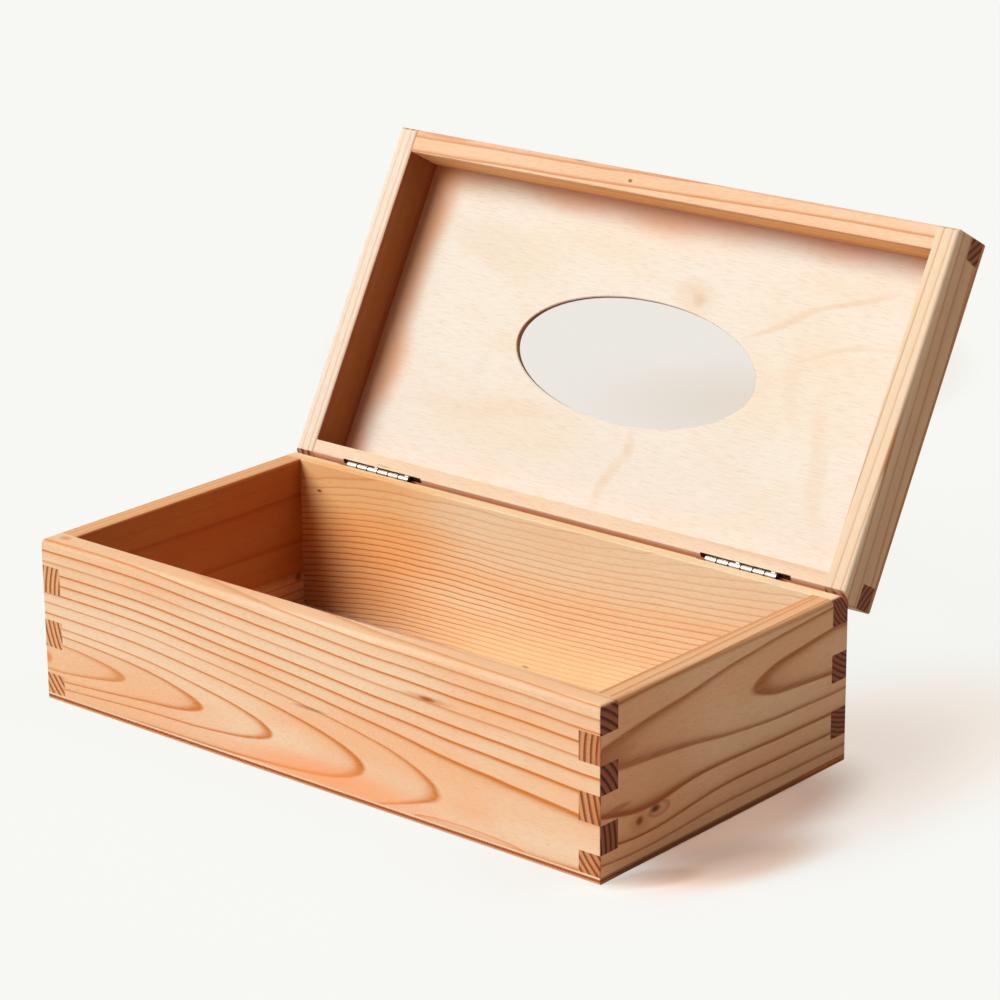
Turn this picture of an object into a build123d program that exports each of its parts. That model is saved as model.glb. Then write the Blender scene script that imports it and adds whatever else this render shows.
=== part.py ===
from build123d import *
from math import cos, radians, sin, sqrt
import os

# A finger-jointed pine tissue box with a hinged lid.  Millimetres, +Z up, +X to
# the right along the length, front towards -Y.  The origin is the centre of the
# underside.  The lid stands open, as it does when the box is being refilled: it
# is drawn shut first and then swung back about the hinge axis.

# ---- overall sizes ----
box_length = 250.0
box_width = 131.0
base_height = 59.5          # underside to the base's rim
lid_frame_height = 16.6     # the lid's rails, without its panel
seam_gap = 0.3              # between the two rims when the lid is shut
open_angle = 119.0          # how far the lid leans back, from shut

# ---- stock ----
board_t = 8.7               # pine boards
panel_core_t = 1.0          # middle layer of both three-layer panels
panel_face_t = 0.7          # each face layer of a panel

# ---- finger joints ----
finger_pitch = 10.0
base_first_finger = 7.4     # the lowest finger of the base, above its panel
lid_first_finger = 9.3      # the lid's finger next to the seam
shortest_finger = 3.0       # no finger is left thinner than this

# ---- sanded edges ----
rim_round = 2.0             # outer edges of the base's rim
lid_rim_round = 1.4         # outer edges of the lid's rim
lid_top_round = 1.1         # outer edges of the lid's panel
corner_round = 0.6          # upright corners
foot_round = 0.35           # outer edges of the bottom panel
inner_round = 0.4           # inner edges of both rims

# ---- oval hand hole in the lid ----
oval_length = 107.0
oval_width = 46.0
oval_round = 0.3

# ---- hinges ----
hinge_from_end = 42.3       # centre of each hinge from the box's end face
hinge_inset = 2.6           # pin axis, in from the back face
hinge_length = 30.0
leaf_t = 0.5
leaf_depth = 7.8            # pin axis to the leaf's far edge
pin_d = 1.0
pin_proud = 0.3             # how far each peened pin end stands out
pin_bevel = 0.2             # of the peened ends
pin_running_fit = 0.05      # radial, in the lid leaf's knuckles
pin_seated_fit = 0.01       # radial, in the base leaf's knuckles
knuckle_count = 6
knuckle_gap = 0.3
knuckle_clearance = 0.35    # notch of one leaf round the other's knuckles
curl_gap = 0.25             # where the rolled edge stops short of its leaf

# ---- saw kerfs and the rear groove that take the hinges ----
kerf_lead = 3.2             # kerf beyond the hinge's left end
kerf_tail = 4.8             # kerf beyond the hinge's right end
kerf_inner_gap = 0.6        # leaf to the kerf's front wall
kerf_outer_gap = 0.35       # leaf to the kerf's rear wall
kerf_end_gap = 0.7          # leaf's far edge to the kerf's bottom
barrel_clearance = 0.33     # barrel to the nearest wood
stop_gap = 0.34             # between the rear arrises when the lid leans back

# ---- barbs that wedge each leaf in its kerf ----
barb_columns = 4
barb_rows = 2
barb_width = 1.6
barb_length = 1.5
barb_land = 0.3             # flat at a barb's crest

half_length = box_length / 2
half_width = box_width / 2
inner_half_length = half_length - board_t
inner_half_width = half_width - board_t
panel_t = panel_core_t + 2 * panel_face_t
lid_bottom = base_height + seam_gap
lid_frame_top = lid_bottom + lid_frame_height
lid_top = lid_frame_top + panel_t

axis_y = half_width - hinge_inset
axis_z = base_height + seam_gap / 2
hinge_offset = half_length - hinge_from_end
barrel_r = pin_d / 2 + pin_running_fit + leaf_t
leaf_front_y = -barrel_r
leaf_back_y = leaf_front_y + leaf_t
kerf_front_y = leaf_front_y - kerf_inner_gap
kerf_back_y = leaf_back_y + kerf_outer_gap
notch_z = -barrel_r - knuckle_clearance
knuckle_length = (hinge_length - (knuckle_count - 1) * knuckle_gap) / knuckle_count

# The bevels along both rear rims meet stop_gap short of each other when the lid
# has turned by open_angle, and clear the barrel where a kerf cuts through them.
half_open = radians(open_angle / 2)
arris_drop = (stop_gap / 2 + hinge_inset * sin(half_open)) / cos(half_open)
groove_height = arris_drop - seam_gap / 2
kerf_corner_drop = sqrt((barrel_r + barrel_clearance) ** 2 - kerf_back_y**2) - seam_gap / 2
groove_depth = (hinge_inset - kerf_back_y) / (1 - kerf_corner_drop / groove_height)

FRONT, BACK, LEFT, RIGHT = "front", "back", "left", "right"
MARGIN = 1.0                # how far a cutter runs past what it cuts
NEAR = 0.01                 # two positions this close are the same


def block(low, high):
    """A solid box between two opposite corners."""
    size = [b - a for a, b in zip(low, high)]
    middle = [(a + b) / 2 for a, b in zip(low, high)]
    return Pos(*middle) * Box(*size)


def upright_edges(solid):
    return solid.edges().filter_by(Axis.Z)


def edges_at(solid, z, half_x, half_y, sides):
    """Level edges at height z that lie on the named sides of a rectangle."""
    on_side = {
        FRONT: lambda middle: abs(middle.Y + half_y) < NEAR,
        BACK: lambda middle: abs(middle.Y - half_y) < NEAR,
        LEFT: lambda middle: abs(middle.X + half_x) < NEAR,
        RIGHT: lambda middle: abs(middle.X - half_x) < NEAR,
    }
    level = [edge for edge in solid.edges() if abs(edge.center().Z - z) < NEAR]
    return [edge for edge in level if any(on_side[side](edge.center()) for side in sides)]


def hinge_groove(rim_z, away):
    """The bevel cut along a rear rim; away is -1 for the base and +1 for the lid."""
    slope = groove_depth / groove_height
    rim_y = half_width - groove_depth
    far_z = rim_z + away * groove_height
    profile = Polyline(
        (0, rim_y - slope * MARGIN, rim_z - away * MARGIN),
        (0, half_width + slope * MARGIN, far_z + away * MARGIN),
        (0, half_width + slope * MARGIN, rim_z - away * MARGIN),
        close=True,
    )
    return extrude(make_face(profile), amount=half_length + MARGIN, both=True)


def envelope(low_z, high_z, rim_z, rim_r, face_z, face_r, away):
    """Base or lid as one sanded block, to be split into its boards and panel."""
    body = block((-half_length, -half_width, low_z), (half_length, half_width, high_z))
    body = fillet(upright_edges(body), corner_round)
    rim = edges_at(body, rim_z, half_length, half_width, (FRONT, LEFT, RIGHT))
    body = fillet(rim, rim_r)
    face = edges_at(body, face_z, half_length, half_width, (FRONT, BACK, LEFT, RIGHT))
    body = fillet(face, face_r)
    return body - hinge_groove(rim_z, away)


def hollow(body, low_z, high_z, rim_z):
    """Open a sanded block out between its boards and ease the rim's inner edges."""
    well = block(
        (-inner_half_length, -inner_half_width, low_z),
        (inner_half_length, inner_half_width, high_z),
    )
    walls = body - well
    sides = (FRONT, BACK, LEFT, RIGHT)
    rim = edges_at(walls, rim_z, inner_half_length, inner_half_width, sides)
    return fillet(rim, inner_round)


def finger_spans(first_z, first_height, last_z):
    """Heights of the fingers from first_z up to last_z, lowest first."""
    spans = [(first_z, first_z + first_height)]
    while last_z - spans[-1][1] >= finger_pitch + shortest_finger:
        spans.append((spans[-1][1], spans[-1][1] + finger_pitch))
    spans.append((spans[-1][1], last_z))
    return spans


def board_outline(spans, half_inner, half_outer, first_runs_out):
    """A board seen face on: every other finger runs out to the box's corner."""
    outline = Sketch()
    for number, (low, high) in enumerate(spans):
        runs_out = (number % 2 == 0) == first_runs_out
        half = half_outer if runs_out else half_inner
        outline += Pos(0, (low + high) / 2) * Rectangle(2 * half, high - low)
    return outline


def long_board(walls, side, spans):
    """A front or back board, whose second finger is the first to run out."""
    outline = board_outline(spans, inner_half_length, half_length, False)
    start = inner_half_width if side == FRONT else -half_width
    return extrude(Plane.XZ.offset(start) * outline, amount=board_t) & walls


def end_board(walls, side, spans):
    """A left or right board: it fills the fingers that the long boards leave."""
    outline = board_outline(spans, inner_half_width, half_width, True)
    start = inner_half_length if side == RIGHT else -half_length
    return extrude(Plane.YZ.offset(start) * outline, amount=board_t) & walls


def layer(body, low_z, thickness):
    """One layer of a panel, as wide and long as the sanded block."""
    slab = block(
        (-half_length - MARGIN, -half_width - MARGIN, low_z),
        (half_length + MARGIN, half_width + MARGIN, low_z + thickness),
    )
    return slab & body


def oval_hole():
    """The hand hole's cutter, eased where it leaves each face of the panel."""
    throat = Ellipse(oval_length / 2, oval_width / 2)
    mouth = Ellipse(oval_length / 2 + oval_round, oval_width / 2 + oval_round)
    hole = Pos(0, 0, lid_frame_top) * extrude(throat, panel_t)
    for z, away in ((lid_frame_top, -1), (lid_top, 1)):
        eased_z = z - away * oval_round
        hole += loft([Plane.XY.offset(z) * mouth, Plane.XY.offset(eased_z) * throat])
    return hole


def rolled_profile(bore_r):
    """A knuckle's section: the leaf's edge rolled round the pin, short of closing."""
    ring = Circle(barrel_r) - Circle(bore_r)
    neck = Pos(leaf_front_y + leaf_t / 2, notch_z / 2) * Rectangle(leaf_t, -notch_z)
    slit_low, slit_high = -barrel_r - curl_gap, -bore_r / 2
    slit = Pos(leaf_back_y + curl_gap / 2, (slit_low + slit_high) / 2) * Rectangle(
        curl_gap, slit_high - slit_low
    )
    return Plane.YZ * (ring + neck - Circle(bore_r) - slit)


def barb(x, low_z, wall_y, face_y):
    """A wedge raised from a leaf's face up to the kerf's wall, easing inwards."""
    high_z = low_z + barb_length
    profile = Polyline(
        (x, face_y, low_z),
        (x, wall_y, high_z - barb_land),
        (x, wall_y, high_z),
        (x, face_y, high_z),
        close=True,
    )
    return extrude(make_face(profile), amount=barb_width / 2, both=True)


def hinge_leaf(first_knuckle, bore_r):
    """A rolled leaf hanging down from the pin axis, which lies along X at the origin."""
    leaf = block(
        (-hinge_length / 2, leaf_front_y, -leaf_depth),
        (hinge_length / 2, leaf_back_y, notch_z),
    )
    profile = rolled_profile(bore_r)
    for number in range(first_knuckle, knuckle_count, 2):
        start = -hinge_length / 2 + number * (knuckle_length + knuckle_gap)
        leaf += Pos(start, 0, 0) * extrude(profile, amount=knuckle_length)
    column_pitch = hinge_length / barb_columns
    row_pitch = (leaf_depth + notch_z) / barb_rows
    for row in range(barb_rows):
        low_z = -leaf_depth + (row + 0.5) * row_pitch - barb_length / 2
        for column in range(barb_columns):
            x = -hinge_length / 2 + (column + 0.5) * column_pitch
            if (row + column) % 2 == 0:
                leaf += barb(x, low_z, kerf_front_y, leaf_front_y)
            else:
                leaf += barb(x, low_z, kerf_back_y, leaf_back_y)
    return leaf


def hinge_pin():
    """The pin, peened back to a bevel at both ends."""
    pin = Rot(0, 90, 0) * Cylinder(pin_d / 2, hinge_length + 2 * pin_proud)
    rims = pin.edges().filter_by(GeomType.CIRCLE)
    return chamfer(rims, pin_bevel)


def kerf(hinge_x, away):
    """The saw kerf for one leaf; away is -1 for the base and +1 for the lid."""
    far_z = axis_z + away * (leaf_depth + kerf_end_gap)
    low_z, high_z = sorted((axis_z, far_z))
    return block(
        (hinge_x - hinge_length / 2 - kerf_lead, axis_y + kerf_front_y, low_z),
        (hinge_x + hinge_length / 2 + kerf_tail, axis_y + kerf_back_y, high_z),
    )


def frame_pieces(walls, spans, away, names):
    """The four boards of the base or the lid, the back one with its two kerfs."""
    back = long_board(walls, BACK, spans)
    for hinge_x in (-hinge_offset, hinge_offset):
        back -= kerf(hinge_x, away)
    front = long_board(walls, FRONT, spans)
    ends = [end_board(walls, side, spans) for side in (LEFT, RIGHT)]
    return dict(zip(names, [front, back] + ends))


def panel_pieces(body, low_z, names):
    """A panel's three layers, lowest first."""
    core_z = low_z + panel_face_t
    layers = [
        layer(body, low_z, panel_face_t),
        layer(body, core_z, panel_core_t),
        layer(body, core_z + panel_core_t, panel_face_t),
    ]
    return dict(zip(names, layers))


def base_pieces():
    body = envelope(0, base_height, base_height, rim_round, 0, foot_round, -1)
    walls = hollow(body, panel_t, base_height + MARGIN, base_height)
    spans = finger_spans(panel_t, base_first_finger, base_height)
    boards = ("base_front_board", "base_back_board", "base_left_end", "base_right_end")
    layers = ("bottom_panel_outer_veneer", "bottom_panel_core", "bottom_panel_inner_veneer")
    return frame_pieces(walls, spans, -1, boards) | panel_pieces(body, 0, layers)


def lid_pieces():
    body = envelope(lid_bottom, lid_top, lid_bottom, lid_rim_round, lid_top, lid_top_round, 1)
    walls = hollow(body, lid_bottom - MARGIN, lid_frame_top, lid_bottom)
    spans = finger_spans(lid_bottom, lid_first_finger, lid_frame_top)
    rails = ("lid_front_rail", "lid_back_rail", "lid_left_rail", "lid_right_rail")
    layers = ("lid_panel_inner_veneer", "lid_panel_core", "lid_panel_outer_veneer")
    panel = panel_pieces(body - oval_hole(), lid_frame_top, layers)
    return frame_pieces(walls, spans, 1, rails) | panel


def swing_open(solid):
    """Turn a piece of the shut lid back about the hinge axis."""
    to_axis = Pos(0, axis_y, axis_z)
    from_axis = Pos(0, -axis_y, -axis_z)
    return to_axis * Rot(-open_angle, 0, 0) * from_axis * solid


def build():
    pieces = base_pieces()
    swung = lid_pieces()
    for name, hinge_x in (("left_hinge", -hinge_offset), ("right_hinge", hinge_offset)):
        at = Pos(hinge_x, axis_y, axis_z)
        lid_leaf = mirror(hinge_leaf(1, pin_d / 2 + pin_running_fit), about=Plane.XY)
        pieces[name + "_base_leaf"] = at * hinge_leaf(0, pin_d / 2 + pin_seated_fit)
        pieces[name + "_pin"] = at * hinge_pin()
        swung[name + "_lid_leaf"] = at * lid_leaf
    for name, solid in swung.items():
        pieces[name] = swing_open(solid)
    return pieces


os.makedirs("parts", exist_ok=True)
for name, solid in build().items():
    export_step(solid, "parts/" + name + ".step")
    print(name, "volume", round(solid.volume, 1), "mm3")
print("groove", round(groove_depth, 3), "deep and", round(groove_height, 3), "high")
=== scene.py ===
# %% [markdown]
# # A pine tissue box with a hinged lid
#
# The box is made of two finger-jointed pine frames. The deep one has a thin panel
# under it and stands on the table, the shallow one has a thin panel with an oval
# hole and leans back on two small hinges. Its joints and outlines come from a CAD
# model, so this lesson is about what makes wood look like wood: growth rings that
# run through a board from its face into its end grain.

import math
from collections import namedtuple

import bmesh
import bpy
from mathutils import Matrix, Vector

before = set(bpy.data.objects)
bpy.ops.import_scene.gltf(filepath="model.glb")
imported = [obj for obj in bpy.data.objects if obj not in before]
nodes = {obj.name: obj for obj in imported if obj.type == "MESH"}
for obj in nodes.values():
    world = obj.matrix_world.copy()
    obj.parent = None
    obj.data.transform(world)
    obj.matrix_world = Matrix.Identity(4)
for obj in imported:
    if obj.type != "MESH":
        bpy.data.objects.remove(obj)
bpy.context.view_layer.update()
scene = bpy.context.scene
mm = 0.001


# %% [markdown]
# ## Standing the camera
#
# The camera's place was worked out from the corners of the box in the photograph.
# It stands front right, a little above the open lid, and looks with a long lens,
# so that the box's edges run almost parallel. The lens, the distance and the turn
# are plain numbers here, and no shift or crop is needed.

# %% Stand the camera
camera_azimuth = math.radians(40.510)
camera_elevation = math.radians(18.533)
camera_roll = math.radians(-0.478)
camera_aim = Vector((-26.775, 65.673, 60.0)) * mm
camera_distance = 1291.66 * mm

away = Vector((
    math.sin(camera_azimuth) * math.cos(camera_elevation),
    -math.cos(camera_azimuth) * math.cos(camera_elevation),
    math.sin(camera_elevation),
))
level_right = Vector((math.cos(camera_azimuth), math.sin(camera_azimuth), 0.0))
level_up = away.cross(level_right)
right = level_right * math.cos(camera_roll) + level_up * math.sin(camera_roll)
up = level_up * math.cos(camera_roll) - level_right * math.sin(camera_roll)

camera_data = bpy.data.cameras.new("camera")
camera_data.sensor_fit = "HORIZONTAL"
camera_data.sensor_width = 36.0
camera_data.lens = 130.24
camera_data.clip_end = 50.0
camera = bpy.data.objects.new("camera", camera_data)
scene.collection.objects.link(camera)
camera.matrix_world = (
    Matrix.Translation(camera_aim + away * camera_distance)
    @ Matrix((right, up, away)).transposed().to_4x4()
)
scene.camera = camera
print("camera at", [round(c, 3) for c in camera.matrix_world.translation])

# %% [markdown]
# ## Helpers for materials
#
# Every finish here is a small network of nodes. Built by hand in the editor it would
# be a wide tangle, so a few helpers are written once and keep each later cell short.
# `add` puts a node in the tree and sets its sockets. A socket that is given another
# node's output is linked to it.

# %% Define the node helpers
def feed(tree, socket, value):
    """Links a socket to another node's output, or sets it where the value is plain."""
    if isinstance(value, bpy.types.NodeSocket):
        tree.links.new(value, socket)
    else:
        socket.default_value = value


def add(tree, kind, **values):
    """Puts a node in a tree. Each value is a setting, a socket by name, or a socket by number as _0."""
    node = tree.nodes.new(kind)
    settings = [name for name in values if name in node.bl_rna.properties]
    for name in settings:
        setattr(node, name, values[name])
    for name in values:
        if name not in settings:
            socket = int(name[1:]) if name[1:].isdigit() else name.replace("_", " ")
            feed(tree, node.inputs[socket], values[name])
    return node


def maths(tree, operation, *values, clamp=False):
    """One Math node: a sum, a product, a power and so on."""
    numbered = {f"_{i}": value for i, value in enumerate(values)}
    return add(tree, "ShaderNodeMath", operation=operation, use_clamp=clamp, **numbered).outputs[0]


def vector_maths(tree, operation, *values):
    """One Vector Math node. A length or a dot product is a number, the rest are vectors."""
    numbered = {f"_{i}": value for i, value in enumerate(values)}
    node = add(tree, "ShaderNodeVectorMath", operation=operation, **numbered)
    return node.outputs["Value" if operation in ("LENGTH", "DOT_PRODUCT") else "Vector"]


def blend_colours(tree, amount, first, second, how="MIX"):
    """Mixes two colours. With how="MULTIPLY" the second one tints the first."""
    node = add(tree, "ShaderNodeMix", data_type="RGBA", blend_type=how)
    for socket, value in ((0, amount), (6, first), (7, second)):
        feed(tree, node.inputs[socket], value)
    return node.outputs[2]


def ramp(tree, value, *stops, smooth=False):
    """Turns a value into another by straight or smooth steps between stops of (place, level)."""
    node = add(tree, "ShaderNodeValToRGB", Fac=value)
    node.color_ramp.interpolation = "EASE" if smooth else "LINEAR"
    elements = node.color_ramp.elements
    for element, (place, level) in zip(elements, (stops[0], stops[-1])):
        element.position = place
        element.color = (level, level, level, 1.0)
    for place, level in stops[1:-1]:
        elements.new(place).color = (level, level, level, 1.0)
    return node.outputs[0]


def colour(red, green, blue):
    """A colour as it is read off a screen, from 0 to 255, made linear for the shader."""
    linear = [((c / 255 + 0.055) / 1.055) ** 2.4 if c > 10 else c / 255 / 12.92 for c in (red, green, blue)]
    return (*linear, 1.0)


def new_finish(name):
    """An empty node material and its tree."""
    finish = bpy.data.materials.new(name)
    finish.use_nodes = True
    finish.node_tree.nodes.clear()
    return finish, finish.node_tree


def output(tree, surface, kind="ShaderNodeOutputMaterial"):
    """Ends a tree with a shader."""
    tree.links.new(surface.outputs[0], add(tree, kind).inputs["Surface"])


print("node helpers ready")

# %% [markdown]
# ## Spots and noise
#
# Two kinds of pattern are used everywhere. Noise is read at a place that was first
# squeezed along the grain, which makes long narrow streaks out of round blobs. A
# soft spot is the distance from a centre, measured in the spot's own radii: a
# Mapping node of the Texture type moves, turns and scales the place, and the length
# of what is left is 0 in the middle of the spot and 1 on its rim.

# %% Define the patterns
def noise(tree, place, detail=2.0, roughness=0.5, scale=1.0):
    """Reads soft noise, from 0 to 1, at a place."""
    node = add(tree, "ShaderNodeTexNoise", Vector=place, Scale=scale, Detail=detail, Roughness=roughness)
    return node.outputs[0]


def streaks(tree, place, along, across, detail=2.0, roughness=0.5):
    """Noise with so many waves per millimetre along the grain and across it."""
    return noise(tree, vector_maths(tree, "MULTIPLY", place, (along, across, across)), detail, roughness)


def about_nought(tree, value, height):
    """Moves a value that lies round a half to lie round nought, and scales it."""
    return maths(tree, "MULTIPLY", maths(tree, "SUBTRACT", value, 0.5), height)


def reach_from(tree, place, centre, size, turn=0.0):
    """The distance from a spot's centre in the spot's own radii. turn is in degrees about Z."""
    near = add(tree, "ShaderNodeMapping", vector_type="TEXTURE", Vector=place, Location=centre,
               Rotation=(0.0, 0.0, math.radians(turn)), Scale=size)
    return vector_maths(tree, "LENGTH", near.outputs[0])


def round_spot(tree, place, centre, size, *stops, turn=0.0):
    """A soft round or oval spot, whose reach goes through a smooth ramp."""
    return ramp(tree, reach_from(tree, place, centre, size, turn), *stops, smooth=True)


print("pattern helpers ready")

# %% [markdown]
# ## The floor
#
# The box stands on a plain white table. A wide disc is enough, because the long
# lens sees only a little of it. To keep the picture's background white without more
# light on the box, the disc is brighter for rays that come from the camera or from
# a mirror-like surface than for the light it throws back at the wood. It still
# takes the box's shadow.
#
# A few soft spots are painted on the disc, in metres: warm painted shade far behind the
# box, which is what the oval hole shows, and behind the right end, and beside the right
# end a painted shadow, painted light next to the wood and a painted contact shadow.
# There the bright glow is taken away, so that the real shadow shows under the paint.

# %% Lay the floor
floor_radius = 6.0
floor_mesh = bpy.data.meshes.new("floor")
disc = bmesh.new()
bmesh.ops.create_circle(disc, cap_ends=True, segments=96, radius=floor_radius)
disc.to_mesh(floor_mesh)
disc.free()
floor = bpy.data.objects.new("floor", floor_mesh)
scene.collection.objects.link(floor)
print("floor disc", floor_radius, "m in radius")

# %% Mix the floor's shade
def seen_directly(tree):
    """1 for rays from the camera or a mirror-like surface, 0 for light thrown on to other things."""
    path = add(tree, "ShaderNodeLightPath").outputs
    mirrored = maths(tree, "MAXIMUM", path["Is Glossy Ray"], path["Is Transmission Ray"])
    return maths(tree, "MAXIMUM", path["Is Camera Ray"], mirrored)


white_paint, tree = new_finish("white_table_paint")
on_floor = add(tree, "ShaderNodeTexCoord").outputs["Object"]
full_then_none = ((0.3, 1.0), (1.0, 0.0))

# Painted shade on the table: far behind the box, seen through the oval hole, and warmer behind the right end.
painted_shade_behind_oval = round_spot(tree, on_floor, (-0.225, 0.404, 0.0), (0.16, 0.16, 1.0), (0.75, 1.0), (1.0, 0.0))
deeper = round_spot(tree, on_floor, (-0.145, 0.370, 0.0), (0.10, 0.10, 1.0), (0.0, 1.0), (1.0, 0.0))
painted_shade_behind_box = round_spot(tree, on_floor, (0.130, 0.075, 0.0), (0.065, 0.12, 1.0), *full_then_none)
oval_shade, deeper_shade = (0.90, 0.86, 0.84, 1.0), (0.84, 0.76, 0.69, 1.0)
shade = blend_colours(tree, deeper, oval_shade, deeper_shade)
shade = blend_colours(tree, painted_shade_behind_oval, (1.0, 1.0, 1.0, 1.0), shade)
shade = blend_colours(tree, painted_shade_behind_box, shade, (1.0, 0.905, 0.85, 1.0))

# Painted shadow beside the right end: a darker warm core, painted light on the part next to the wood, and a painted
# contact shadow at the front corner.
painted_shadow_beside_box = round_spot(tree, on_floor, (0.148, -0.026, 0.0), (0.020, 0.052, 1.0), *full_then_none, turn=-16.0)
painted_light_near_wood = round_spot(tree, on_floor, (0.125, -0.004, 0.0), (0.038, 0.086, 1.0), (0.2, 1.0), (1.0, 0.0))
painted_contact_shadow = round_spot(tree, on_floor, (0.134, -0.051, 0.0), (0.0085, 0.022, 1.0),
                     (0.0, 1.0), (0.4, 0.85), (1.0, 0.0), turn=-32.0)
contact_shadow_tint = (0.78, 0.68, 0.60, 1.0)
lit = blend_colours(tree, painted_light_near_wood, shade, (1.46, 1.27, 1.14, 1.0))
lit = blend_colours(tree, painted_shadow_beside_box, lit, (0.98, 0.80, 0.68, 1.0))
lit = blend_colours(tree, painted_contact_shadow, lit, contact_shadow_tint, how="MULTIPLY")
glow = blend_colours(tree, 1.0, (0.935, 0.94, 0.905, 1.0), shade, how="MULTIPLY")
glow = blend_colours(tree, painted_contact_shadow, glow, contact_shadow_tint, how="MULTIPLY")
print("floor shade mixed")

# %% Paint the floor
glow_share = round_spot(tree, on_floor, (0.125, 0.005, 0.0), (0.09, 0.18, 1.0),
                        (0.17, 0.0), (0.40, 0.72), (0.8, 0.90), (1.0, 0.93))
glow_share = maths(tree, "MULTIPLY", glow_share, maths(tree, "SUBTRACT", 1.0, painted_shadow_beside_box))
shadowed = add(tree, "ShaderNodeBsdfDiffuse", Color=lit)
glowing = add(tree, "ShaderNodeEmission", Color=glow, Strength=1.0)
shown = add(tree, "ShaderNodeMixShader", _0=glow_share, _1=shadowed.outputs[0], _2=glowing.outputs[0])
thrown = add(tree, "ShaderNodeBsdfDiffuse", Color=(0.75, 0.69, 0.62, 1.0))
output(tree, add(tree, "ShaderNodeMixShader", _0=seen_directly(tree), _1=thrown.outputs[0], _2=shown.outputs[0]))
floor_mesh.materials.append(white_paint)
print("floor painted:", len(tree.nodes), "nodes")

# %% [markdown]
# ## The light
#
# In the photograph one large soft lamp stands high on the left, in front of the box.
# It lights the front, the rims and the inside of the lid, and leaves the right end
# and the inside of the left wall in warm shade. A sun lamp with a wide disc gives
# the same soft shadow all over the table. A second, wider one stands for the
# ceiling, and a weak warm one comes from behind on the right, where a bright room
# would light the right end. Apart from the pale background that it shows the
# camera, the world is almost dark, so the shaded faces live on the light that the
# table and the other boards throw back.

# %% Hang the lamps
def sun(name, travel, strength, width, tint):
    """A sun lamp whose light travels along a direction, as wide as an angle in degrees."""
    data = bpy.data.lights.new(name, "SUN")
    data.energy = strength
    data.angle = math.radians(width)
    data.color = tint
    lamp = bpy.data.objects.new(name, data)
    lamp.rotation_mode = "QUATERNION"
    lamp.rotation_quaternion = Vector(travel).to_track_quat("-Z", "Y")
    scene.collection.objects.link(lamp)
    return lamp


lamps = (
    sun("key_lamp", travel=(0.426, 0.657, -0.622), strength=2.95, width=38.0, tint=(1.0, 0.995, 0.985)),
    sun("ceiling_lamp", travel=(0.0, 0.0, -1.0), strength=0.35, width=70.0, tint=(1.0, 0.98, 0.96)),
    sun("back_fill_lamp", travel=(-0.42, -0.45, -0.79), strength=0.78, width=40.0, tint=(1.0, 0.87, 0.76)),
)

world = bpy.data.worlds.new("studio")
scene.world = world
world.use_nodes = True
tree = world.node_tree
tree.nodes.clear()
dim_room, pale_backdrop = (0.02, 0.017, 0.015, 1.0), (0.94, 0.94, 0.92, 1.0)
room = blend_colours(tree, seen_directly(tree), dim_room, pale_backdrop)
output(tree, add(tree, "ShaderNodeBackground", Color=room, Strength=1.0), "ShaderNodeOutputWorld")
scene.view_settings.view_transform = "Standard"
print("lamps:", *[lamp.name for lamp in lamps])

# %% [markdown]
# ## Growth rings
#
# A tree grows one ring a year round its pith. Sawn boards cut through those rings, so
# one rule draws every face: how far a point is from the pith, and in which year the
# tree was that thick. The spring wood of a ring is pale and wide, and the late wood
# is a thin orange-brown line with a sharp outer edge. Where a face runs nearly along
# a ring the line spreads into a broad flame, and on a board's end the same rings
# show as arcs. A wood texture painted on each face could not do that, because its
# lines would stop at every edge.
#
# Two groups do it in millimetres, with the grain along the local X axis and the
# pith at Y = Z = 0. The first measures the distance and lets the rings wander, as a
# tree is never quite round. The second colours the wood.

# %% Make the group that measures the distance from the pith
def group_with(name, given, made):
    """An empty node group, the sockets that bring its inputs and those that take its results."""
    group = bpy.data.node_groups.new(name, "ShaderNodeTree")
    kinds = {"vector": "NodeSocketVector", "number": "NodeSocketFloat", "colour": "NodeSocketColor"}
    for sockets, way in ((given, "INPUT"), (made, "OUTPUT")):
        for socket, kind in sockets.items():
            group.interface.new_socket(socket, in_out=way, socket_type=kinds[kind])
    return group, group.nodes.new("NodeGroupInput").outputs, group.nodes.new("NodeGroupOutput").inputs


pith_distance, given, made = group_with(
    "pith_distance", {"Place": "vector", "Wander": "number", "Push": "number"}, {"Distance": "number"})
place = given["Place"]
apart = add(pith_distance, "ShaderNodeSeparateXYZ", Vector=place).outputs
squares = [maths(pith_distance, "MULTIPLY", apart[i], apart[i]) for i in (1, 2)]
straight = maths(pith_distance, "SQRT", maths(pith_distance, "ADD", *squares))
slow = about_nought(pith_distance, streaks(pith_distance, place, 0.012, 0.03, detail=1.0), 5.0)
ripple = about_nought(pith_distance, streaks(pith_distance, place, 0.06, 0.16), 1.6)
sway = maths(pith_distance, "MULTIPLY", maths(pith_distance, "ADD", slow, ripple), given["Wander"])
swayed = maths(pith_distance, "ADD", straight, sway)
pith_distance.links.new(maths(pith_distance, "ADD", swayed, given["Push"]), made["Distance"])
print("distance group:", len(pith_distance.nodes), "nodes")

# %% Draw the lines of the rings
ring_wood, given, made = group_with(
    "ring_wood",
    {"Place": "vector", "Years": "number", "Boldness": "number", "End Rings": "number", "End Grain": "number",
     "Heart": "number", "Pale Wood": "colour", "Warm Wood": "colour", "Ring Line": "colour",
     "Heart Wood": "colour", "End Pale": "colour", "End Line": "colour"},
    {"Color": "colour", "Height": "number", "Roughness": "number"},
)
place, ring_line = given["Place"], given["Ring Line"]

# Within a year: pale spring wood, a slow darkening, a thin line and a sharp edge.
side_profile = ((0.0, 0.3), (0.025, 0.0), (0.5, 0.02), (0.73, 0.12), (0.82, 0.42), (0.89, 0.9),
                (0.93, 1.0), (0.97, 1.0), (1.0, 0.3))
end_profile = ((0.0, 0.3), (0.08, 0.0), (0.45, 0.05), (0.68, 0.75), (0.94, 1.0), (1.0, 0.3))
line = ramp(ring_wood, maths(ring_wood, "FRACT", given["Years"]), *side_profile)

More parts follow.
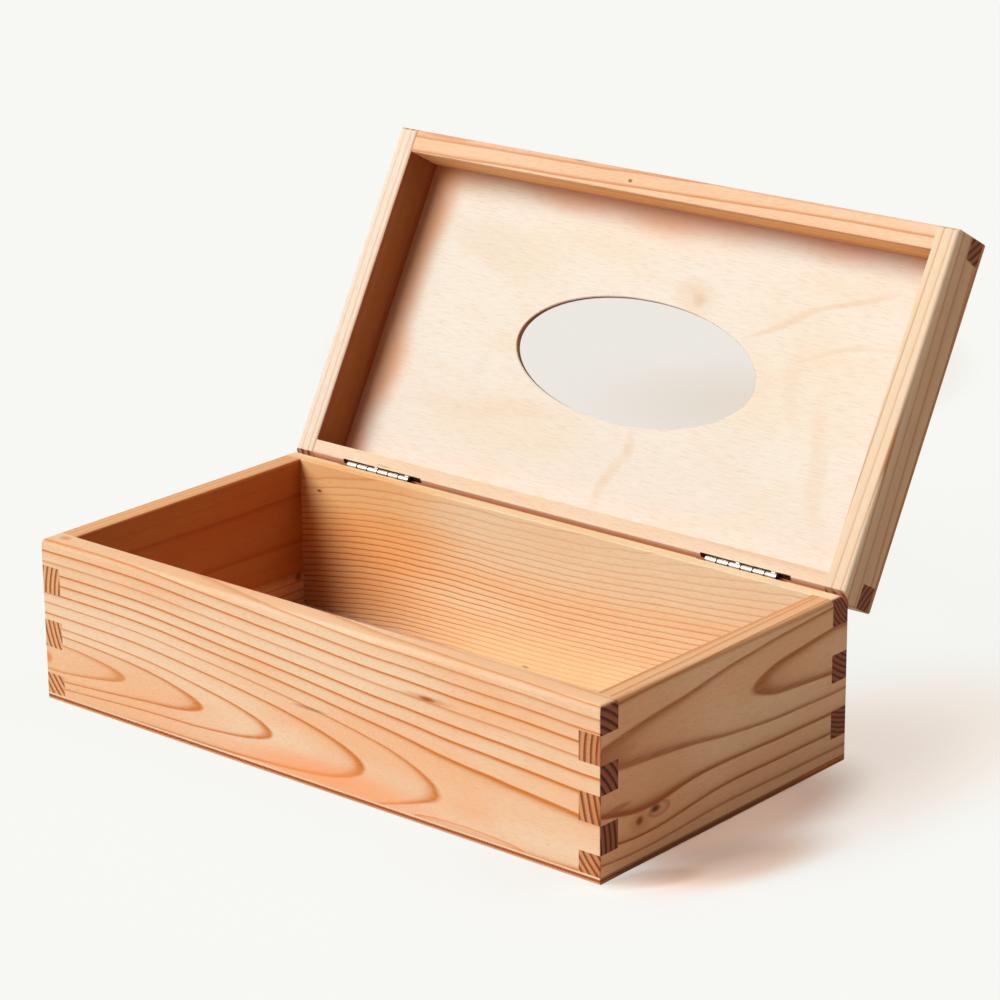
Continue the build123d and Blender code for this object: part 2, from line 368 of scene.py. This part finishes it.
# Some years are a little bolder than others.
year = add(ring_wood, "ShaderNodeTexWhiteNoise", noise_dimensions="1D",
           W=maths(ring_wood, "FLOOR", given["Years"])).outputs[0]
line = maths(ring_wood, "MULTIPLY", line, maths(ring_wood, "ADD", 0.8, maths(ring_wood, "MULTIPLY", year, 0.25)))
side_line = maths(ring_wood, "MULTIPLY", line, given["Boldness"])
end_years = maths(ring_wood, "MULTIPLY", given["Years"], given["End Rings"])
end_line = ramp(ring_wood, maths(ring_wood, "FRACT", end_years), *end_profile)

# The line breaks up into fibres, which run along the grain.
fibre = streaks(ring_wood, place, 0.05, 3.0, detail=3.0, roughness=0.6)
broken = maths(ring_wood, "ADD", 0.6, maths(ring_wood, "MULTIPLY", fibre, 1.1))
strength = maths(ring_wood, "MULTIPLY", side_line, broken, clamp=True)
print("ring lines drawn")

# %% Colour the wood between and on the lines
# Spring wood is pale in some places and warmer in others. The Heart input makes it darker and redder, as heartwood,
# which is used as painted shade on shaded inner faces.
cloud = ramp(ring_wood, streaks(ring_wood, place, 0.009, 0.045), (0.36, 0.0), (0.66, 1.0), smooth=True)
fleck = ramp(ring_wood, streaks(ring_wood, place, 0.25, 5.0, roughness=0.6), (0.5, 0.0), (0.8, 0.4))
thread = ramp(ring_wood, fibre, (0.25, 0.10), (0.6, 0.0))
side = blend_colours(ring_wood, cloud, given["Pale Wood"], given["Warm Wood"])
for amount in (fleck, thread, strength):
    side = blend_colours(ring_wood, amount, side, ring_line)
side = blend_colours(ring_wood, given["Heart"], side, given["Heart Wood"], how="MULTIPLY")

# End grain soaks up more light, and its ring lines are darker.
pores = ramp(ring_wood, noise(ring_wood, place, scale=2.2, detail=3.0, roughness=0.7), (0.35, 0.4), (0.62, 0.0))
ends = blend_colours(ring_wood, end_line, given["End Pale"], given["End Line"])
ends = blend_colours(ring_wood, pores, ends, given["End Line"])
end_share = ramp(ring_wood, given["End Grain"], (0.35, 0.0), (0.75, 1.0), smooth=True)
ring_wood.links.new(blend_colours(ring_wood, end_share, side, ends), made["Color"])

# Late wood stands a little proud after sanding, and is a little smoother.
height = maths(ring_wood, "ADD", maths(ring_wood, "MULTIPLY", side_line, 0.5), maths(ring_wood, "MULTIPLY", fibre, 0.6))
rougher = maths(ring_wood, "MULTIPLY", maths(ring_wood, "SUBTRACT", fibre, strength), 0.14)
ring_wood.links.new(height, made["Height"])
ring_wood.links.new(maths(ring_wood, "ADD", 0.56, rougher), made["Roughness"])
print("wood group:", len(ring_wood.nodes), "nodes")

# %% [markdown]
# ## Sawing boards out of the log
#
# A board's finish says where in its log it was sawn. Its `trunk` is a list of places
# that the pith passed: how far along the board, and where across it. Its `calendar`
# says how thick the tree was in which year, so wide and narrow rings can be put
# where the photograph shows them. Its `boldness` makes some years' lines darker, and
# its `fade` weakens all lines towards one end of the board. On end grain each year
# shows `end_rings` lines, and wood nearer the pith than `heart` is
# darker and redder, as heartwood: painted shade on inner faces that lie in shade.
#
# The lid's boards are described with the lid shut, because that is how they were
# cut. A Mapping node of the Texture type turns the open lid back to there first.

# %% Find a place on the shut box
hinge_axis = Vector((0.0, 62.9, 59.65))
open_angle = math.radians(119.0)
lid_swing = (
    Matrix.Translation(hinge_axis)
    @ Matrix.Rotation(-open_angle, 4, "X")
    @ Matrix.Translation(-hinge_axis)
)
on_base = Matrix.Identity(4)


def own_millimetres(tree):
    """A piece's own coordinates in millimetres, and which way its surface faces."""
    own = add(tree, "ShaderNodeTexCoord").outputs
    scaled = add(tree, "ShaderNodeVectorMath", operation="SCALE", _0=own["Object"], Scale=1.0 / mm)
    return scaled.outputs[0], own["Normal"]


def on_shut_box(tree, swing):
    """The same, with the lid turned back to shut."""
    place, normal = own_millimetres(tree)
    shut = add(tree, "ShaderNodeMapping", vector_type="TEXTURE", Vector=place,
               Location=swing.translation, Rotation=swing.to_euler())
    return shut.outputs[0], normal


print("the lid is turned back by", round(math.degrees(open_angle)), "degrees")

# %% Define the curves
log_radius = 140.0


def curve(tree, value, points, past_ends="HORIZONTAL"):
    """Reads a value off a curve through points, level or straight on past its ends."""
    node = add(tree, "ShaderNodeFloatCurve", Value=value)
    node.mapping.use_clip = False
    node.mapping.extend = past_ends
    drawn = node.mapping.curves[0].points
    drawn[0].location, drawn[1].location = points[0], points[-1]
    for point in points[1:-1]:
        drawn.new(*point)
    for point in drawn:
        point.handle_type = "AUTO_CLAMPED"
    node.mapping.update()
    return node.outputs[0]


def even_years(width):
    """A calendar in which every ring is as wide as the next."""
    return ((0.0, 0.0), (log_radius, log_radius / width))


def steady(level):
    """A boldness that is the same in every year."""
    return ((0.0, level), (log_radius, level))


print("curves reach", log_radius, "mm from the pith")

# %% [markdown]
# ## Light between the boards
#
# Inside the box the boards light each other, and each bounce makes the shade deeper
# and more orange. The effect in the photograph is stronger than these colours alone
# would give, so light that a board throws on (a diffuse ray) takes a darker, redder
# tint than what is seen of it. Bare wood has only a dull gloss, so the specular
# level is low. Otherwise a grey veil would lie over the shaded faces.

# %% Define how a wood finish ends
wood_bounce = (0.58, 0.27, 0.115, 1.0)
veneer_bounce = (0.95, 0.68, 0.42, 1.0)
bare_wood_gloss = 0.14


def finish_with(tree, shown, bounce, roughness, height, depth, strength=0.25):
    """Ends a wood finish: dull gloss, fine relief, and a tint for the light it throws on."""
    is_thrown = add(tree, "ShaderNodeLightPath").outputs["Is Diffuse Ray"]
    thrown = blend_colours(tree, 1.0, shown, bounce, how="MULTIPLY")
    shown = blend_colours(tree, is_thrown, shown, thrown)
    bump = add(tree, "ShaderNodeBump", Strength=strength, Distance=depth, Height=height)
    output(tree, add(tree, "ShaderNodeBsdfPrincipled", Base_Color=shown, Roughness=roughness,
                     Specular_IOR_Level=bare_wood_gloss, Normal=bump.outputs[0]))


print("wood throws on", wood_bounce[:3], "of its own colour")

# %% [markdown]
# ## Marks
#
# Knots, dark streaks and the stained edges of the rims are not part of the rings. A
# mark is a soft spot, in millimetres on the shut box, that covers the wood with a
# tint. A mark with a bulge pushes the rings aside instead, as a knot does. A wash is
# a wide, soft spot that tints the wood without hiding its lines.

# %% Define marks
soft_disc = ((0.0, 1.0), (0.3, 0.9), (1.0, 0.0))
wash_disc = ((0.0, 1.0), (0.3, 0.95), (1.0, 0.0))
Mark = namedtuple("Mark", "centre size darkness tint bulge profile", defaults=(0.0, (0, 0, 0), 0.0, soft_disc))
everywhere = 2000  # so long a radius that the mark runs the whole length of a board


def pushed_rings(tree, where, marks):
    """How far the marks with a bulge push the rings at a place."""
    push = 0.0
    for mark in marks:
        if mark.bulge:
            reach = reach_from(tree, where, mark.centre, mark.size)
            swell = maths(tree, "EXPONENT", maths(tree, "MULTIPLY", maths(tree, "MULTIPLY", reach, reach), -0.25))
            push = maths(tree, "ADD", maths(tree, "MULTIPLY", swell, mark.bulge), push)
    return push


def marked(tree, where, shown, washes, marks):
    """A colour with the washes and then the marks laid over it."""
    for centre, size, tint in washes:
        wash = round_spot(tree, where, centre, size, *wash_disc)
        shown = blend_colours(tree, wash, shown, colour(*tint), how="MULTIPLY")
    for mark in marks:
        if mark.darkness:
            stops = [(at, level * mark.darkness) for at, level in mark.profile]
            spot = round_spot(tree, where, mark.centre, mark.size, *stops)
            shown = blend_colours(tree, spot, shown, colour(*mark.tint))
    return shown


print("a mark says", ", ".join(Mark._fields))

# %% Define how a board is sawn
along_x, along_y = 0, 1
# heart_wood tints wood near the pith darker and redder; where a board has a heart radius, that is painted shade.
pine_tints = dict(pale_wood=(247, 219, 186), warm_wood=(247, 199, 156), ring_line=(212, 114, 34),
                  heart_wood=(212, 162, 108), end_pale=(240, 178, 122), end_line=(126, 58, 26))
no_fade = ((-140.0, 1.0), (140.0, 1.0))
ring_relief = 0.12 * mm


def sawn_board(name, grain, trunk, calendar, boldness=steady(1.0), fade=no_fade, swing=on_base, wander=0.3,
               end_rings=2.0, heart=None, washes=(), marks=(), **tints):
    """A pine finish for one board, whose grain is along_x or along_y."""
    finish, tree = new_finish(name)
    where, normal = on_shut_box(tree, swing)

    # Along the trunk, and from the pith to both sides.
    apart = add(tree, "ShaderNodeSeparateXYZ", Vector=where).outputs
    along = apart[grain]
    beside, above = (
        maths(tree, "SUBTRACT", side, curve(tree, along, [(station[0], station[i]) for station in trunk]))
        for i, side in ((1, apart[1 - grain]), (2, apart[2]))
    )
    place = add(tree, "ShaderNodeCombineXYZ", X=along, Y=beside, Z=above).outputs[0]
    far = add(tree, "ShaderNodeGroup", node_tree=pith_distance, Place=place, Wander=wander,
              Push=pushed_rings(tree, where, marks)).outputs[0]

    # End grain shows where the surface faces along the trunk.
    trunk_turn = swing.to_3x3() @ Vector((1.0 - grain, grain, 0.0))
    facing = vector_maths(tree, "DOT_PRODUCT", normal, trunk_turn)
    wood = add(
        tree, "ShaderNodeGroup", node_tree=ring_wood, Place=place,
        Years=curve(tree, far, calendar, "EXTRAPOLATED"),
        Boldness=maths(tree, "MULTIPLY", curve(tree, far, boldness), curve(tree, along, fade)),
        End_Rings=end_rings, End_Grain=maths(tree, "ABSOLUTE", facing),
        Heart=curve(tree, far, [(heart - 1.0, 1.0), (heart + 1.0, 0.0)]) if heart else 0.0,
        **{tint.title(): colour(*value) for tint, value in {**pine_tints, **tints}.items()},
    ).outputs
    shown = marked(tree, where, wood["Color"], washes, marks)
    finish_with(tree, shown, wood_bounce, wood["Roughness"], wood["Height"], ring_relief)
    return finish


def give(node, finish):
    """Puts one finish on a CAD node, in every material slot that it has."""
    mesh = nodes[node].data
    if not mesh.materials:
        mesh.materials.append(finish)
    for number in range(len(mesh.materials)):
        mesh.materials[number] = finish
    print(node, "has", finish.name)


print("a board can now be sawn from any log")

# %% [markdown]
# ## The front board
#
# This board was cut close in front of the pith, which runs away from it towards the
# right. Its face therefore shows nested flames that open to the left, under long
# lines that fall slowly to the right. Each number of the calendar is the thickness
# of the tree at one of the lines in the photograph. The boldness dips just before
# the years whose flames would otherwise end in wide dark wedges.

# %% Lay out the front board's log
dark_ends = dict(end_pale=(166, 96, 62), end_line=(50, 10, 6))
front_trunk = (
    (-118, -69.0, 16.5), (-84, -72.0, 16.8), (-45, -75.1, 15.4), (-15, -77.7, 14.4),
    (24, -81.7, 13.6), (55, -85.65, 14.6), (85, -87.2, 14.6), (118, -88.2, 14.0),
)
front_calendar = (
    (0.0, 0), (3.4, 1), (6.5, 2), (9.5, 3), (12.1, 4), (16.3, 5), (20.1, 6), (23.9, 7),
    (27.6, 8), (31.4, 9), (35.3, 10), (39.3, 11), (43.2, 12), (47.1, 13), (51, 14), (90, 24),
)
front_boldness = (
    (0, 0.7), (9.5, 0.75), (11.5, 0.35), (11.85, 0.75), (12.1, 0.85), (12.6, 1.0), (15.6, 0.5),
    (16.0, 1.0), (16.5, 1.1), (19.3, 0.2), (19.75, 0.45), (20.0, 0.9), (20.5, 1.0), (23.8, 0.85),
    (27.5, 1.0), (31.3, 1.0), (35.2, 0.6), (39.2, 0.95), (43, 0.85), (50, 0.7),
)
print("front board:", len(front_calendar), "years measured")

# %% Finish the front board
faint_flame = ((0.0, 0.4), (0.6, 0.3), (0.8, 0.45), (0.92, 1.0), (1.0, 0.0))
front_marks = (
    # A dark streak in its halo, and a short one near the middle.
    Mark((54, -65.5, 44.3), (4.8, 6, 1.0), 1.0, (110, 40, 0)),
    Mark((54, -65.5, 44.3), (14.0, 6, 1.7), 0.5, (206, 116, 44)),
    Mark((2, -65.5, 27.9), (10, 6, 0.9), 0.5, (150, 78, 34)),
    # Warm wood low on the face, and the rim.
    Mark((10, -65.5, 5), (60, 8, 9), 0.7, (255, 162, 98)),
    Mark((0, -61, 59.7), (everywhere, 6, 1.4), 0.4, (255, 200, 148)),
    Mark((72, -65.5, 12), (16, 8, 8), 0.35, (250, 176, 124)),
    # Rings pushed down at the lower right.
    Mark((105, -65.5, 3), (36, 10, 5), bulge=-1.8),
    # The rim's far left, a spot on a left finger, and a faint flame at the bottom.
    Mark((-118, -60, 59.5), (3.5, 2.4, 1.5), 0.6, (206, 126, 68)),
    Mark((-124, -65.5, 15.6), (2.8, 5, 2.8), 0.9, (236, 138, 74)),
    Mark((71, -65.5, 2.2), (25, 6, 2.4), 0.8, (234, 138, 74), profile=faint_flame),
)
give("base_front_board", sawn_board(
    "pine_front_board", along_x, front_trunk, front_calendar, front_boldness, wander=0.13, end_rings=1.5,
    ring_line=(214, 122, 42), marks=front_marks, **dark_ends))

# %% [markdown]
# ## The back board and the two ends
#
# The back board was cut across the rings, so its inner face has close, even lines,
# which sag at the left and fade to the right. The right end was cut far from the
# pith and nearly along the rings: the same thin late wood makes broad brown flames
# there. Two small knots push its lower lines apart. The left end's inner face is
# painted darker and redder, as heartwood, which is painted shade.

# %% Finish the back board
back_trunk = (
    (-118, 76, 57.5), (-100, 76, 61), (-80, 76, 64), (-58, 76, 65.4),
    (0, 76, 66.2), (60, 78.5, 68), (118, 81, 70),
)
back_calendar = ((17, 0), (28, 7.5), (52, 20), (68, 29.2), (140, 70))
back_boldness = ((17, 0.2), (26, 0.35), (34, 0.65), (42, 0.8), (52, 0.75), (62, 0.65), (70, 0.6))
back_fade = ((-118, 1.8), (-60, 1.5), (-20, 1.1), (40, 0.85), (118, 0.7))
back_marks = (
    # Two short dark flecks, then pale wood low in the middle and a painted shadow in the left corner.
    Mark((-107, 56.8, 49), (1.8, 3, 0.7), 0.95, (90, 28, 0)),
    Mark((-8, 56.8, 3.4), (2.2, 3, 0.7), 0.95, (120, 50, 6)),
    Mark((30, 56.8, 0), (110, 5, 20), 0.5, (255, 234, 176)),
    Mark((-122, 56.8, 6), (38, 5, 36), 0.5, (130, 56, 14)),
)
# The wash is painted warm shade over the left part of the face, along the edge of the left wall's shadow.
give("base_back_board", sawn_board(
    "pine_back_board", along_x, back_trunk, back_calendar, back_boldness, back_fade, wander=0.5, end_rings=1.0,
    pale_wood=(255, 234, 194), warm_wood=(255, 219, 170), ring_line=(226, 130, 56),
    washes=(((-94, 56.8, 40), (68, 5, 52), (255, 226, 190)),), marks=back_marks, **dark_ends))

# %% Finish the right end
right_trunk = (
    (-65, 169.72, 41.2), (-51, 169.50, 41.4), (-40, 169.34, 41.7), (-20, 169.0, 41.8), (0, 168.3, 41.7),
    (13, 167.92, 41.5), (20, 167.72, 41.5), (26, 167.56, 41.5), (40, 167.35, 41.6), (57, 167.1, 41.7),
)
right_calendar = (
    (0, -14), (41, 0), (42.94, 1), (44.95, 2), (47.9, 3), (51.6, 4), (55.5, 5), (59.5, 6), (140, 28),
)
ringed_halo = ((0.0, 0.6), (0.4, 0.3), (0.75, 1.0), (1.0, 0.0))
right_marks = (
    # Two knots, each in its halo, and the rings that they push down.
    Mark((125, -46, 15.3), (5, 2.6, 2.1), 1.0, (56, 8, 0)),
    Mark((125, -46, 14.8), (5, 8.0, 5.0), 0.4, (186, 104, 44)),
    Mark((125, -38.0, 16.8), (5, 3.3, 1.7), 1.0, (56, 8, 0)),
    Mark((125, -36.0, 16.2), (5, 6.5, 3.0), 0.5, (160, 76, 22), profile=ringed_halo),
    Mark((125, -42, 12), (12, 16, 5.5), bulge=-3.2),
    # A brown streak beside them, and a darker patch at the front.
    Mark((125, -56, 23.2), (5, 8, 1.4), 0.6, (150, 84, 40)),
    Mark((125, -60, 41.5), (5, 16, 3.4), 0.5, (186, 122, 76)),
    # The rim, painted shade on its rounded outer edge, and its inner edge.
    Mark((120.6, 0, 59.7), (7, everywhere, 1.4), 0.5, (240, 182, 130)),
    Mark((124.7, 0, 58.7), (1.2, everywhere, 1.2), 0.7, (196, 128, 76)),
    Mark((117.0, 0, 59.7), (1.6, everywhere, 1.2), 0.6, (212, 136, 80)),
)
give("base_right_end", sawn_board(
    "pine_right_end", along_y, right_trunk, right_calendar, steady(0.85), wander=0.03, end_rings=1.5,
    pale_wood=(242, 201, 160), warm_wood=(238, 188, 144), ring_line=(166, 94, 40), end_pale=(226, 162, 110),
    washes=(((125, -54, 26), (5, 54, 54), (246, 225, 214)),), marks=right_marks))

# %% Finish the left end
left_calendar = (
    (0, -14), (38.1, 0), (40.3, 1), (42.5, 2), (44.7, 3), (46.9, 4), (49.1, 5), (140, 46),
)
left_boldness = (
    (0, 0.5), (38.1, 0.5), (38.4, 0.12), (42.6, 0.12), (43.5, 0.5), (45, 0.6), (47, 0.8), (140, 0.8),
)
left_marks = (
    # A small knot on the inner face, and the rim.
    Mark((-116.3, 54, 14), (5, 2.6, 2.6), 0.7, (90, 44, 22)),
    Mark((-120.6, 0, 59.7), (8, everywhere, 1.4), 0.6, (236, 172, 118)),
)
# The heart darkens and reddens only this board's inner face: painted shade.
give("base_left_end", sawn_board(
    "pine_left_end", along_y, ((-65, -79.3, 38), (65, -79.5, 37)), left_calendar, left_boldness, wander=0.12,
    end_rings=1.0, heart=43.3, pale_wood=(241, 200, 156), warm_wood=(240, 186, 138), ring_line=(196, 104, 46),
    end_pale=(252, 192, 138), end_line=(140, 70, 34), marks=left_marks))

# %% [markdown]
# ## The four rails of the lid
#
# The rails are narrow, so only a few rings cross each of them, drifting slowly from
# one edge to the other. Their marks are small chips and stains on the rims, painted
# warm light on the front rail's inner face, painted orange shade on the bevel where
# the back rail meets the box, and painted shade on the right rail's outer side.

# %% Finish the lid's front and back rails
front_rail_marks = (
    # Four chips and stains on the outer edge, and painted warm light on the inner face.
    Mark((-13.5, -61, 59.8), (1.3, 0.9, 2), 0.9, (120, 60, 28)),
    Mark((-38, -65.2, 59.8), (5, 0.9, 2), 0.6, (190, 116, 66)),
    Mark((-102, -64.8, 59.8), (18, 1.4, 2), 0.6, (226, 138, 84)),
    Mark((66, -65, 59.8), (55, 0.9, 2), 0.5, (230, 150, 98)),
    Mark((0, -56.8, 68), (everywhere, 1.2, 8), 0.65, (255, 214, 150)),
)
give("lid_front_rail", sawn_board(
    "pine_lid_front_rail", along_x, ((-118, -96, 22), (118, -104, 26)), even_years(3.9), steady(0.6),
    swing=lid_swing, end_rings=1.5, pale_wood=(247, 213, 177), warm_wood=(247, 204, 164),
    marks=front_rail_marks, **dark_ends))

back_rail_marks = (
    # A stain beside the left hinge, and painted orange shade on the bevel at the seam.
    Mark((-81.5, 60.4, 59.8), (5.5, 0.5, 2), 0.6, (214, 150, 96)),
    Mark((0, 63.7, 62.3), (everywhere, 3.2, 3.2), 1.0, (246, 150, 82)),
)
give("lid_back_rail", sawn_board(
    "pine_lid_back_rail", along_x, ((-118, 76, 94), (118, 74, 97)), even_years(3.4),
    ((0, 0.7), (33, 0.7), (36, 0.2), (140, 0.2)), swing=lid_swing, wander=0.2, end_rings=1.5,
    pale_wood=(252, 232, 204), warm_wood=(252, 224, 190), marks=back_rail_marks, **dark_ends))

# %% Finish the lid's left and right rails
# The heart darkens and reddens only the rail's inner face: painted shade.
give("lid_left_rail", sawn_board(
    "pine_lid_left_rail", along_y, ((-65, -60, 67), (65, -60, 69)), even_years(3.0),
    ((0, 0.8), (57, 0.8), (60, 0.3), (140, 0.3)), swing=lid_swing, wander=0.1, end_rings=1.0,
    heart=57.3, heart_wood=(172, 124, 76), pale_wood=(246, 232, 212), warm_wood=(246, 226, 202)))

right_rail_marks = (
    # The rim, and painted shade on the outer side.
    Mark((120.6, 0, 59.8), (7, everywhere, 1.5), 0.55, (242, 212, 176)),
    Mark((125, 0, 70), (1.6, everywhere, 14), 0.65, (190, 140, 98)),
)
give("lid_right_rail", sawn_board(
    "pine_lid_right_rail", along_y, ((-65, 81.6, 91.8), (65, 79.5, 93.3)), even_years(2.75), steady(0.9),
    swing=lid_swing, wander=0.12, end_rings=1.0, pale_wood=(247, 228, 200), warm_wood=(247, 221, 190),
    ring_line=(196, 122, 66), marks=right_rail_marks))

# %% [markdown]
# ## The panels
#
# Each panel is plywood: two face veneers over a core laid crosswise. A veneer is
# peeled off the log in one long sheet, so it shows no ring lines but a pale, silky
# ground with short flecks along the grain and a few wide, faint loops. Its cut ends
# are end grain and darker. The core is seen only on the panel's edges. On the lid's
# inner veneer, painted warm shade lies along the left and front edges.

# %% Define how a veneer is peeled
cut_end_tint = (178, 138, 104)
veneer_relief = 0.1 * mm


def waved(tree, place):
    """A place moved to and fro by slow noise, so that a spot there has a wavy outline."""
    slow = vector_maths(tree, "MULTIPLY", place, (0.025, 0.035, 0.035))
    waves = add(tree, "ShaderNodeTexNoise", Vector=slow, Scale=1.0, Detail=0.0).outputs[1]
    waves = vector_maths(tree, "SUBTRACT", waves, (0.5, 0.5, 0.5))
    return vector_maths(tree, "MULTIPLY_ADD", waves, (16.0, 16.0, 0.0), place)


def peeled_veneer(name, swing=on_base, pale=(249, 243, 229), warm=(250, 231, 202), fleck_tint=(220, 180, 138),
                  loops_and_painted_shade=()):
    """A rotary-cut face veneer, with its grain along X. A loop is (centre, size, turn, darkness, tint), and some loops
    are painted shade.
    """
    finish, tree = new_finish(name)
    place, normal = on_shut_box(tree, swing)
    pale, warm, fleck_tint = colour(*pale), colour(*warm), colour(*fleck_tint)

    # A ground that is warmer in places, with faint contour lines, flecks and silk.
    cloud = ramp(tree, streaks(tree, place, 0.012, 0.03), (0.42, 0.0), (0.75, 0.7), smooth=True)
    contours = maths(tree, "MULTIPLY", streaks(tree, place, 0.006, 0.016, detail=1.0), 7.0)
    contour = ramp(tree, maths(tree, "FRACT", contours), (0.0, 0.0), (0.78, 0.05), (0.93, 0.4), (1.0, 0.0))
    fleck = ramp(tree, streaks(tree, place, 0.16, 2.2, detail=3.0, roughness=0.6), (0.50, 0.0), (0.66, 0.8))
    silk = streaks(tree, place, 0.04, 4.0)
    shown = blend_colours(tree, cloud, pale, warm)
    for pattern, share, tint in ((contour, 0.5, warm), (fleck, 0.32, fleck_tint), (silk, 0.16, fleck_tint)):
        shown = blend_colours(tree, maths(tree, "MULTIPLY", pattern, share), shown, tint)

    wavy_place = waved(tree, place)
    # Some loops are painted shade along the lid's inner corners.
    for centre, size, turn, darkness, tint in loops_and_painted_shade:
        stops = ((0.0, darkness), (0.35, darkness * 0.75), (1.0, 0.0))
        shown = blend_colours(tree, round_spot(tree, wavy_place, centre, size, *stops, turn=turn), shown, colour(*tint))

    # The sheet's cut ends, which face along X.
    facing = maths(tree, "ABSOLUTE", add(tree, "ShaderNodeSeparateXYZ", Vector=normal).outputs[0])
    cut_end = ramp(tree, facing, (0.5, 0.0), (0.8, 1.0))
    shown = blend_colours(tree, cut_end, shown, colour(*cut_end_tint), how="MULTIPLY")
    rough = maths(tree, "ADD", 0.5, maths(tree, "MULTIPLY", silk, 0.12))
    height = maths(tree, "SUBTRACT", silk, fleck)
    finish_with(tree, shown, veneer_bounce, rough, height, veneer_relief, strength=0.2)
    return finish


print("a veneer can now be peeled")

# %% Finish the veneers
amber, ochre, umber = (240, 160, 96), (230, 184, 126), (206, 148, 92)
# Painted warm shade along the panel's left and front edges, where the rails shade it.
inside_corner_shade = (
    ((-119, 0, 78), (19, 170, 30), 0.0, 0.95, amber),
    ((0, -62, 78), (240, 17, 30), 0.0, 0.8, amber),
)
loops_by_the_oval = (
    ((5, 44, 78), (3.4, 16, 30), 6.0, 0.26, ochre),
    ((7, 31, 78), (3.2, 9, 30), -14.0, 0.26, ochre),
    ((16, -28, 78), (14.0, 8.5, 30), 0.0, 0.32, ochre),
    ((19, -26.5, 78), (4.5, 3.2, 30), 0.0, 0.3, umber),
)
long_loops = (
    ((54, -23, 78), (16, 1.5, 30), -24.0, 0.34, ochre),
    ((76, -33, 78), (34, 1.5, 30), -21.0, 0.34, ochre),
    ((82, -18, 78), (27, 1.5, 30), -17.0, 0.26, ochre),
    ((90, 22, 78), (6.0, 36, 30), -12.0, 0.18, ochre),
    ((70, -4, 78), (4.5, 18, 30), -20.0, 0.16, ochre),
)
left_loops = (
    ((-75, -30, 78), (38, 8, 30), 12.0, 0.16, ochre),
    ((-60, 28, 78), (55, 6, 30), -6.0, 0.14, ochre),
)
give("lid_panel_inner_veneer", peeled_veneer(
    "lid_veneer", swing=lid_swing, loops_and_painted_shade=loops_by_the_oval + long_loops + left_loops + inside_corner_shade))
give("lid_panel_outer_veneer", peeled_veneer("lid_outer_veneer", swing=lid_swing, loops_and_painted_shade=long_loops))
give("bottom_panel_inner_veneer", peeled_veneer(
    "bottom_veneer", pale=(244, 218, 184), warm=(240, 200, 156), fleck_tint=(210, 156, 106)))
give("bottom_panel_outer_veneer", peeled_veneer(
    "bottom_outer_veneer", pale=(226, 178, 134), warm=(214, 160, 116), fleck_tint=(190, 132, 86)))

# %% Finish the cores
give("lid_panel_core", sawn_board(
    "lid_panel_core_wood", along_y, ((-65, -40, 140), (65, -42, 140)), even_years(2.0), swing=lid_swing,
    pale_wood=(204, 140, 84), warm_wood=(190, 120, 66), end_pale=(170, 98, 50), end_line=(108, 50, 18)))
# The bottom core's side grain, seen at the foot of the right end, is very dark: partly its own colour, partly painted
# shadow where the box meets the table.
give("bottom_panel_core", sawn_board(
    "bottom_panel_core_wood", along_y, ((-65, -40, -60), (65, -42, -60)), even_years(2.0),
    pale_wood=(110, 72, 48), warm_wood=(98, 62, 40), end_pale=(196, 112, 64), end_line=(146, 70, 32)))

# %% [markdown]
# ## The hinges
#
# The leaves are bright plated sheet steel rolled round a wire pin. Plating is a
# mirror with a slight haze, so the metal has a low roughness with a little noise,
# and most of its look comes from the white room that it reflects. The gaps between
# the knuckles are too narrow to hold any shade in a picture, so each has a painted
# dark line. The gaps are evenly spaced, and a ping-pong finds the nearest.

# %% Finish the hinges
hinge_centre, knuckle_pitch = 82.7, 5.05
gap_line = ((0.18, 1.0), (0.45, 0.0))
gap_shade = (52, 44, 38)
sheet_relief = 0.05 * mm


def plated_steel(name, tint, roughness):
    """Rolled and plated steel, hazy in places, with dark lines at the knuckles' gaps."""
    finish, tree = new_finish(name)
    place, _ = own_millimetres(tree)
    haze = noise(tree, place, scale=1.2, detail=3.0)
    rolled = streaks(tree, place, 0.4, 6.0)
    rough = maths(tree, "ADD", roughness, maths(tree, "MULTIPLY", haze, 0.12))
    darker = colour(*[c * 0.8 for c in tint])
    shown = blend_colours(tree, maths(tree, "MULTIPLY", rolled, 0.5), colour(*tint), darker)

    along = maths(tree, "ABSOLUTE", add(tree, "ShaderNodeSeparateXYZ", Vector=place).outputs[0])
    from_gap = maths(tree, "PINGPONG", maths(tree, "SUBTRACT", along, hinge_centre), knuckle_pitch / 2)
    shown = blend_colours(tree, ramp(tree, from_gap, *gap_line), shown, colour(*gap_shade))
    bump = add(tree, "ShaderNodeBump", Strength=0.15, Distance=sheet_relief, Height=rolled)
    output(tree, add(tree, "ShaderNodeBsdfPrincipled", Base_Color=shown, Metallic=1.0, Roughness=rough,
                     Normal=bump.outputs[0]))
    return finish


leaf_plating = plated_steel("hinge_plating", (222, 216, 206), 0.3)
pin_steel = plated_steel("pin_steel", (214, 213, 210), 0.25)
for side in ("left", "right"):
    give(f"{side}_hinge_base_leaf", leaf_plating)
    give(f"{side}_hinge_lid_leaf", leaf_plating)
    give(f"{side}_hinge_pin", pin_steel)
print("hinges plated")
